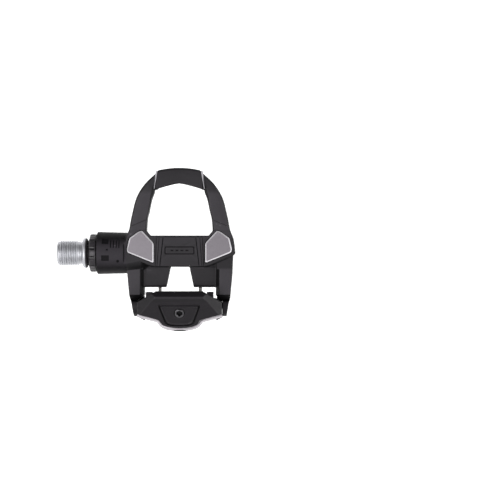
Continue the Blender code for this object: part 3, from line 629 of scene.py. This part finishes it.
def fine_cutters():
    """The crisp lines on the platform and the barrel."""
    for x, width, lean in ((10.1, 0.5, 1.6), (12.0, 0.3, 1.0), (13.2, 0.3, 0.6)):
        slant = Matrix.Rotation(math.atan2(lean, 14), 4, "Z")
        yield mirrored(block("deck_line", (x - width / 2, -7.2, 9.55), (x + width / 2, 8.6, 11), turn=slant))
    slant = Matrix.Rotation(math.atan2(-4.0, 9.6), 4, "Z")
    yield mirrored(block("arm_crease", (17.0, 16.6, 10.15), (29.4, 16.85, 12), turn=slant))
    outer = rounded([(-8.4, -0.8), (8.4, -0.8), (8.4, 3.7), (-8.4, 3.7)], 0.9)
    inner = rounded([(-7.8, -0.2), (7.8, -0.2), (7.8, 3.1), (-7.8, 3.1)], 0.6)
    yield cut(slab("label_line", outer, 9.7, 11), slab("label_inside", inner, 9, 12))
    for x in (-4.2, -1.4, 1.4, 4.2):
        yield block("label_bar", (x - 0.8, 1.1, 9.78), (x + 0.8, 1.8, 11))
    # Plain marks in the barrel: three pads by its end, a row of short strokes and a dot
    yield barrel_mark((-43.6, 5.1), (-39.8, 7.9), 11.55)
    yield barrel_mark((-41.2, 1.4), (-40.0, 2.4), 11.55)
    yield barrel_mark((-43.8, -4.4), (-39.5, -1.3), 11.55)
    for x in (-38.6, -37.0, -35.4, -33.9):
        yield barrel_mark((x - 0.3, 3.0), (x + 0.3, 7.3), 11.4)
    yield rod("mould_dot", (-34.6, -4.6, 10.2), (-34.6, -4.6, 13), 0.8, 24)
    yield mirrored(rod("spring_leg_hole", (11.4, -22, -1.0), (11.4, -14, -2.41), 1.25, 24))
    # Painted shade: this cut gives the legs' rear slopes the near-black groove look.
    yield mirrored(side_bar("leg_slope", [(-23.5, 7.5), (-23.5, 5.2), (-27.0, -0.1), (-27.0, 7.5)], 19.5, 31))


def make_body():
    shell = join(make_hoop(), make_deck(), make_core(), make_barrel(), make_legs(), make_blocks())
    cut(shell, *shell_cutters())
    mould(shell, voxel=0.27, rounds=4, share=0.4)
    shell.data.materials.append(BODY)
    # Painted shade: the cut faces of the lines, marks and holes take the near-black groove look.
    cutters = list(fine_cutters())
    for cutter in cutters:
        cutter.data.materials.append(GROOVE_SHADE_AND_GAUGE)
    cut(shell, *cutters)
    looks = [BODY, GROOVE_SHADE_AND_GAUGE, BARREL_LIT]
    for face in shell.data.polygons:
        if face.material_index == looks.index(BODY) and face.center.x < BARREL_END:
            face.material_index = looks.index(BARREL_LIT)
    piece(shell, "pedal_body", looks, ["pedal_body"])


def make_nose_step_highlights():
    """Bright steel strips on the steps where the raised nose meets the arms: a painted highlight."""
    for name, side in (("nose_step_outboard", 1), ("nose_step_inboard", -1)):
        sections = []
        count = 13
        for i in range(count):
            t = i / (count - 1)
            x, y = 12.35 + 1.75 * t, 45.9 - 10.0 * t
            width = 0.85 - 0.5 * t
            ring = [
                (x - 0.25, y, 13.75), (x + 0.05, y, 13.85), (x + width, y, 12.35 - 0.2 * t),
                (x + width, y, 11.9 - 0.2 * t), (x - 0.25, y, 11.9),
            ]
            sections.append([(side * px, py, pz) for px, py, pz in ring])
        step = loft(name, sections)
        modify(step, "BEVEL", width=0.12, segments=2, angle_limit=math.radians(30))
        piece(bake(step), "pedal_body", [STEP_HIGHLIGHT], sharp=40)


def make_plates():
    centre = Vector((22, 3))
    fitted = [tuple(centre + (Vector(point) - centre) * 0.972) for point in PLATE_OUTLINE]
    edge, top = rounded(fitted, 1.0, 4), rounded(inset(fitted, 0.65), 0.6, 4)
    for name, side in (("outboard_wear_plate", 1), ("inboard_wear_plate", -1)):
        sections = [
            [(side * x, y, height) for x, y in outline]
            for height, outline in ((9.0, edge), (10.2, edge), (10.9, top))
        ]
        plate = loft(name + "_detail", sections)
        plate.data.materials.append(PLATE)
        plate.data.materials.append(PLATE_EDGE_HIGHLIGHT)
        # The chamfers, picked by how they face, get the lighter steel: a polished edge with a painted
        # highlight.
        for face in plate.data.polygons:
            face.material_index = int(0.1 < face.normal.z < 0.95)
        piece(plate, "pedal_body", [PLATE, PLATE_EDGE_HIGHLIGHT], [name], sharp=20)


# Release claw

PAD_TILT = math.radians(30)
WINDOW_Z, WINDOW_RADIUS = 2.2, 3.5
CLAW_REAR_EDGE = [
    (23.7, -34.4), (11.8, -37.6), (9.8, -40.4), (7.0, -41.6), (3.5, -42.15), (0, -42.3),
]


def on_pad(x, forward, height):
    """A place across the pad, up its slope and square out of it, from the screw's head."""
    cos, sin = math.cos(PAD_TILT), math.sin(PAD_TILT)
    return Vector((x, -34.1 + forward * cos - height * sin, 11.4 + forward * sin + height * cos))


def pad_slab(name, outline, low, high):
    obj = slab(name, outline, low, high, AXIS)
    obj.data.transform(Matrix.Translation(MIDDLE + on_pad(0, 0, 0)) @ Matrix.Rotation(PAD_TILT, 4, "X"))
    return obj


def make_claw_shell():
    plan = slab("claw_shell", both_sides([(12.8, -21.1), (23.7, -27.6), *CLAW_REAR_EDGE]), -12, 20)
    side = side_bar("claw_side", [
        (-21.2, 14.3), (-21.4, 15.0), (-24.4, 17.5), (-25.6, 17.2), (-27.2, 15.9), (-39.6, 8.8),
        (-41.2, 7.7), (-42.2, 6.4), (-42.6, 5.0), (-43, -3.5), (-41.5, -6.0), (-34.5, -8.3),
        *arc((PIN_Y, PIN_Z), 5.0, 270, 320, 8), (-25.6, -1.0), (-25.2, 10.5), (-24.6, 13.9),
    ], -30, 30)
    front = front_bar("claw_front", both_sides([
        (13.0, 17.8), (24.2, 10.2), (24.2, -7), (22.2, -9.5),
    ]), -50, -15)
    keep(plan, side, front)
    return join(
        plan,
        mirrored(block("claw_cheek", (15.3, -27.5, 3.0), (19.0, -21.9, 8.5))),
        # A lip holds each end of the band from below
        mirrored(slab("band_lip", [(23.7, -33), (23.7, -36.9), (20.4, -38.5), (20, -33)], -7.2, -5.7)),
    )


def spring_cavity():
    coils = side_bar("spring_cavity", [
        *arc((PIN_Y, PIN_Z), 5.6, -90, -250, 17), (-26.5, 4.4), (-20, 4.4), (-20, -12), (PIN_Y, -12),
    ], -13.2, 13.2)
    loop = pad_slab("loop_room", [(-6.5, -3.2), (6.5, -3.2), (6.5, 4.1), (-6.5, 4.1)], -8.3, -3.2)
    nut = pad_slab("nut_room", [(-6.5, -3.2), (6.5, -3.2), (6.5, 3.5), (-6.5, 3.5)], -13.5, -8)
    return join(coils, loop, nut)


def make_claw():
    claw = make_claw_shell()
    groove = rounded(both_sides([(12.0, 6.2), (8.2, -6.3), (5.5, -7.8), (0, -8.2)]), 1.6)
    island = rounded(both_sides([(11.0, 4.9), (7.4, -6.0), (5.2, -7.3), (0, -7.7)]), 1.4)
    dish = rounded(both_sides([(10.4, 4.3), (6.9, -5.6), (4.9, -6.7), (0, -7.1)]), 1.2)
    cut(claw, pad_slab("pad_groove", groove, -0.95, 4))
    join(claw, pad_slab("pad_island", island, -2.5, -0.1))
    cut(
        claw,
        pad_slab("pad_dish", dish, -0.4, 4),
        rod("screw_head_hole", on_pad(0, 0, 3), on_pad(0, 0, -2.6), 2.9, 64),
        rod("screw_shank_hole", on_pad(0, 0, -2), on_pad(0, 0, -20), 2.15),
        spring_cavity(),
        rod("claw_pin_hole", (-26, PIN_Y, PIN_Z), (26, PIN_Y, PIN_Z), PIN_HOLE_RADIUS),
    )
    mould(claw, voxel=0.2, rounds=3, share=0.35)
    piece(claw, "release_claw", [CLAW], ["release_claw"])


def moved_out(path, distances):
    """The path moved sideways, to the left of the way it runs."""
    ends = [path[0], *path, path[-1]]
    moved = []
    for before, here, after, distance in zip(ends, path, ends[2:], distances):
        run = (Vector(after) - Vector(before)).normalized()
        moved.append((here[0] - run.y * distance, here[1] + run.x * distance))
    return moved


def band_edge():
    """The claw's rear edge in short even steps, smoothed, from one side to the other."""
    left_half = [(-x, y) for x, y in CLAW_REAR_EDGE]
    corners = left_half + CLAW_REAR_EDGE[-2::-1]
    edge = []
    for first, second in zip(corners, corners[1:]):
        steps = round(math.dist(first, second) / 0.6)
        for i in range(steps):
            t = i / steps
            edge.append((first[0] + (second[0] - first[0]) * t, first[1] + (second[1] - first[1]) * t))
    edge.append(corners[-1])
    for _ in range(3):
        middle = [
            ((a[0] + 2 * b[0] + c[0]) / 4, (a[1] + 2 * b[1] + c[1]) / 4)
            for a, b, c in zip(edge, edge[1:], edge[2:])
        ]
        edge = [edge[0], *middle, edge[-1]]
    return edge


def make_band():
    """The bright band leans out towards its foot. No gap shows between it and the claw from above."""
    edge = band_edge()
    sections = []
    for height, at_side, in_middle in (
        (-5.6, 1.5, 1.5), (-5.2, 1.75, 1.8), (2.6, 1.8, 1.85), (5.9, 0.8, 0.8), (6.3, 0.65, 0.65),
    ):
        widths = [at_side + (in_middle - at_side) * max(0, 1 - abs(x) / 11) for x, y in edge]
        inner = moved_out(edge, [-0.05] * len(edge))
        outer = moved_out(edge, [-0.15 - width for width in widths])
        sections.append([(x, y, height) for x, y in inner + outer[::-1]])
    band = loft("claw_band", sections)
    cut(
        band,
        rod("band_window", (0, -47, WINDOW_Z), (0, -40, WINDOW_Z), WINDOW_RADIUS, 64),
        mirrored(block("band_slot", (15.6, -45, -6.5), (19.0, -34, -4.2))),
    )
    modify(band, "BEVEL", width=0.12, segments=2, limit_method="ANGLE", angle_limit=math.radians(40))
    piece(bake(band), "release_claw", [BAND], ["claw_back_plate"], sharp=35)


def make_gauge():
    """The tension gauge fills the band's window: a dark disc that leans as the band does, with a pointer."""
    cup = side_bar("gauge_cup", [
        (-42.36, -1.5), (-44.22, -1.5), (-44.22, 3.2), (-43.15, 5.7), (-42.36, 5.7),
    ], -4, 4)
    keep(cup, rod("gauge_round", (0, -46, WINDOW_Z), (0, -40, WINDOW_Z), WINDOW_RADIUS - 0.1, 64))
    cut(cup, block("gauge_track", (-2.2, -45, 0.2), (2.2, -43.95, 1.0)))
    join(cup, block("gauge_pointer", (-0.3, -44.2, -0.6), (0.3, -43.8, 1.8)))
    piece(cup, "release_claw", [GROOVE_SHADE_AND_GAUGE], sharp=35)


# Spindle, its nut and its thread

def thread_ridge(start, end, pitch, root, crest, steps=48):
    """The thread's ridge. It fades in and out over its first and last 0.6 of a turn."""
    count = round((end - start - pitch) / pitch * steps)
    fade = steps * 0.6
    sections = []
    for i in range(count + 1):
        angle = 2 * math.pi * i / steps
        along = start + pitch / 2 + pitch * i / steps
        top = root + (crest - root) * min(1, i / fade, (count - i) / fade)
        around = Vector((0, math.cos(angle), math.sin(angle)))
        shape = [
            (-0.60, root - 0.3), (-0.56, root), (-0.2, top - 0.12 * (top - root)), (-0.08, top),
            (0.08, top), (0.2, top - 0.12 * (top - root)), (0.56, root), (0.60, root - 0.3),
        ]
        sections.append([Vector((along + dx, 0, 0)) + around * radius for dx, radius in shape])
    return loft("thread_ridge", sections, AXIS)


def hex_radius(across):
    """The radius to the corners of a hexagon, from its width across the flats."""
    return across / 2 / math.cos(math.pi / 6)


def make_spindle():
    spindle = turned("spindle_shaft", [
        (-14.3, 0), (-14.3, 5.7), (-14.15, 5.95), (-13.7, 6.42), (-1.5, 6.42), (-1.35, 6.15), (-0.5, 6.15),
        (-0.15, 6.9), (0, 7.2), (0.12, 7.6), (0.4, 8.1), (0.8, 8.42), (1.2, 8.5), (1.7, 8.45), (1.8, 8.2),
        (1.8, 5.9), (32.9, 5.9), (38, 4.4), (62.3, 4.0), (62.3, 3.0), (72.6, 3.0), (73.2, 2.4), (73.2, 0),
    ])
    join(spindle, thread_ridge(start=-14.25, end=-1.5, pitch=1.27, root=6.4, crest=7.14))
    socket = rod("hex_socket", (-15.3, 0, 0), (-5.8, 0, 0), hex_radius(8), 6, origin=AXIS)
    mouth = rod("socket_mouth", (-14.8, 0, 0), (-13.9, 0, 0), 5.4, 48, 4.3, origin=AXIS)
    cut(spindle, socket, mouth)
    piece(spindle, "spindle", [SPINDLE], ["spindle"], sharp=28)


def make_nut():
    nut = turned("splined_nut", [
        (3.2, 6.9), (3.35, 7.15), (4.3, 10.35), (4.7, 10.65), (7.7, 10.65), (7.85, 10.5), (7.9, 10),
        (17, 10), (17, 8.2), (7.4, 8.2), (7.4, 7.2), (5.2, 7.2), (5.2, 6.2), (3.2, 6.2),
    ], 144)
    cutters = []
    grooves = 12
    for i in range(grooves):
        angle = 2 * math.pi * (i + 0.5) / grooves
        y, z = 11.25 * math.cos(angle), 11.25 * math.sin(angle)
        cutters.append(rod("groove", (2, y, z), (7.2, y, z), 1.35, 20, origin=AXIS))
    cut(nut, *cutters)
    modify(nut, "BEVEL", width=0.1, segments=2, limit_method="ANGLE", angle_limit=math.radians(45))
    piece(bake(nut), "pedal_body", [NUT], ["retaining_nut"], sharp=38)


# Pin, spring and screw

COIL_X, COIL_RADIUS, COIL_PITCH, WIRE_RADIUS = 11.4, 4.15, 2.15, 0.93
LOOP_FORWARD, LOOP_DEPTH = 3.0, -5.0


def make_pin():
    pin = turned("hinge_pin", [
        (-26.4, 0), (-26.4, 1.5), (-26.1, PIN_RADIUS), (26.1, PIN_RADIUS), (26.4, 1.5), (26.4, 0),
    ], 48)
    pin.data.transform(Matrix.Translation(MIDDLE + Vector((0, PIN_Y, PIN_Z))))
    cut(
        pin,
        rod("pin_dimple", (25.9, PIN_Y, PIN_Z), (27, PIN_Y, PIN_Z), 0.6, 24, 1.0),
        rod("pin_dimple", (-27, PIN_Y, PIN_Z), (-25.9, PIN_Y, PIN_Z), 1.0, 24, 0.6),
    )
    piece(pin, "pedal_body", [PIN], ["claw_pin"], sharp=35)


def make_spring():
    lean, drop = math.radians(14), math.radians(10)
    run = Vector((0, math.cos(drop), -math.sin(drop)))
    start = Vector((COIL_X, PIN_Y, PIN_Z)) + Vector((0, math.sin(drop), math.cos(drop))) * COIL_RADIUS
    corners = [start + run * (16 - 2 * i) for i in range(8)]
    first, last = math.pi / 2 - drop, lean + 6 * math.pi
    count = 100
    for i in range(count + 1):
        angle = first + (last - first) * i / count
        x = COIL_X - COIL_PITCH * (angle - first) / (2 * math.pi)
        y, z = PIN_Y + COIL_RADIUS * math.cos(angle), PIN_Z + COIL_RADIUS * math.sin(angle)
        corners.append(Vector((x, y, z)))
    rise = corners[-1], on_pad(5.2, LOOP_FORWARD, LOOP_DEPTH - 1.1)
    corners += [rise[0].lerp(rise[1], i / 6) for i in range(1, 6)]
    corners += smooth_points([
        on_pad(x, LOOP_FORWARD, LOOP_DEPTH - lower) for x, lower in ((5.25, 1.1), (5.0, 0.35), (4.2, 0))
    ], 7)
    half = corners + [on_pad(x, LOOP_FORWARD, LOOP_DEPTH) for x in (3.2, 2.1, 1.0)]
    path = half + [Vector((-p.x, p.y, p.z)) for p in reversed(half)]
    spring = tube("torsion_spring", path, WIRE_RADIUS, 14)
    piece(spring, None, [SPRING], ["release_spring"], sharp=60)
    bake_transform(spring)


def make_screw():
    down = on_pad(0, 0, -1) - on_pad(0, 0, 0)
    turn = Vector((1, 0, 0)).rotation_difference(down).to_matrix().to_4x4()
    screw = turned("pressure_screw", [
        (0, 0), (0, 2.15), (0.12, 2.45), (0.4, 2.65), (2.1, 2.65), (2.2, 2.5), (2.2, 1.85), (11.6, 1.85),
        (12, 1.4), (12, 0),
    ], 64)
    screw.data.transform(Matrix.Translation(MIDDLE + on_pad(0, 0, 0)) @ turn)
    cut(
        screw,
        rod("screw_socket", on_pad(0, 0, 1), on_pad(0, 0, -1.5), hex_radius(3.2), 6),
        rod("socket_mouth", on_pad(0, 0, 0.3), on_pad(0, 0, -0.35), 2.2, 48, 1.65),
    )
    # Painted shade: the faces inside the hex socket get the near-black look.
    paint_shade_near(screw, MIDDLE + on_pad(0, 0, -0.9), 1.7)
    piece(screw, "tension_screw", [SCREW, SOCKET_SHADE], ["tension_screw"], sharp=30)


make_body()
make_nose_step_highlights()
make_plates()
make_claw()
make_band()
make_gauge()
make_spindle()
make_nut()
make_pin()
make_spring()
make_screw()

LOOKS = {
    "spindle_seal": SEAL, "nut_lip_seal": SEAL, "ball_bearing_inner_shield": SEAL,
    "ball_bearing_outer_shield": SEAL, "needle_bearing_cage": CAGE, "ball_bearing_cage": CAGE,
    "spring_sleeve": CAGE, "tension_nut": PIN,
}
for name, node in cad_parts.items():
    node.data.materials.clear()
    node.data.materials.append(LOOKS.get(name, BEARING))


# Floor, light and camera

FLOOR_Z = -60
# How the sky's strength changes along an axis: from, to, and the strength at each of them
SKY = ("Z", (0.35, 0.95, 1.0, 0.42)), ("Y", (0.1, 0.8, 1.0, 0.22)), ("Y", (-0.9, -0.3, 0.72, 1.0))
# The photo's middle, the height its scale holds for, and how much its width covers there, in metres
PHOTO_MIDDLE, PHOTO_HEIGHT, PHOTO_WIDTH = (0.0946, 0.0017), 0.010, 0.2805
CAMERA_DISTANCE = 0.95


def make_floor():
    bm = bmesh.new()
    bmesh.ops.create_grid(bm, x_segments=2, y_segments=2, size=3000)
    floor = make("floor", bm, MIDDLE + Vector((0, 0, FLOOR_Z)))
    floor.data.transform(Matrix.Scale(MM, 4))
    n = Nodes("floor_paper")
    n.set(Roughness=0.8, Specular_IOR_Level=0.2, Emission_Strength=0.35, Emission_Color=(1, 1, 1, 1))
    paper = n.mix(n.span(n.noise(14, 3), 0, 1), (0.90, 0.90, 0.90), (0.93, 0.93, 0.93))
    n.link(paper, n.shader.inputs["Base Color"])
    floor.data.materials.append(n.material)


def make_area(name, place, size, power):
    light = bpy.data.lights.new(name, "AREA")
    light.shape = "DISK"
    light.size = size
    light.energy = power
    lamp = bpy.data.objects.new(name, light)
    lamp.location = place
    lamp.rotation_euler = (MIDDLE * MM - Vector(place)).to_track_quat("-Z", "Y").to_euler()
    bpy.context.scene.collection.objects.link(lamp)


def make_light():
    """A bright horizon beside the pedal, dimmer behind it, darker overhead and before its nose."""
    world = bpy.data.worlds.new("studio")
    bpy.context.scene.world = world
    world.use_nodes = True
    tree = world.node_tree
    background = tree.nodes["Background"]
    background.inputs["Color"].default_value = (1, 1, 1, 1)
    split = add_node(tree, "ShaderNodeSeparateXYZ")
    tree.links.new(add_node(tree, "ShaderNodeTexCoord").outputs["Generated"], split.inputs["Vector"])
    strength = None
    for letter, numbers in SKY:
        span = add_node(tree, "ShaderNodeMapRange", interpolation_type="SMOOTHSTEP")
        tree.links.new(split.outputs[letter], span.inputs["Value"])
        set_range(span, *numbers)
        product = add_node(tree, "ShaderNodeMath", operation="MULTIPLY")
        product.inputs[0].default_value = 1
        if strength:
            tree.links.new(strength, product.inputs[0])
        tree.links.new(span.outputs["Result"], product.inputs[1])
        strength = product.outputs["Value"]
    tree.links.new(strength, background.inputs["Strength"])
    make_area("key_light", (-0.45, -0.2, 0.8), 0.6, 8.0)
    make_area("fill_light", (0.75, -0.15, 0.6), 0.7, 6.0)
    bpy.context.scene.view_settings.view_transform = "Standard"


def make_camera():
    data = bpy.data.cameras.new("camera")
    camera = bpy.data.objects.new("camera", data)
    bpy.context.scene.collection.objects.link(camera)
    data.lens = data.sensor_width * CAMERA_DISTANCE / PHOTO_WIDTH
    data.clip_start, data.clip_end = 0.01, 20
    camera.location = (*PHOTO_MIDDLE, PHOTO_HEIGHT + CAMERA_DISTANCE)
    bpy.context.scene.camera = camera


make_floor()
make_light()
make_camera()
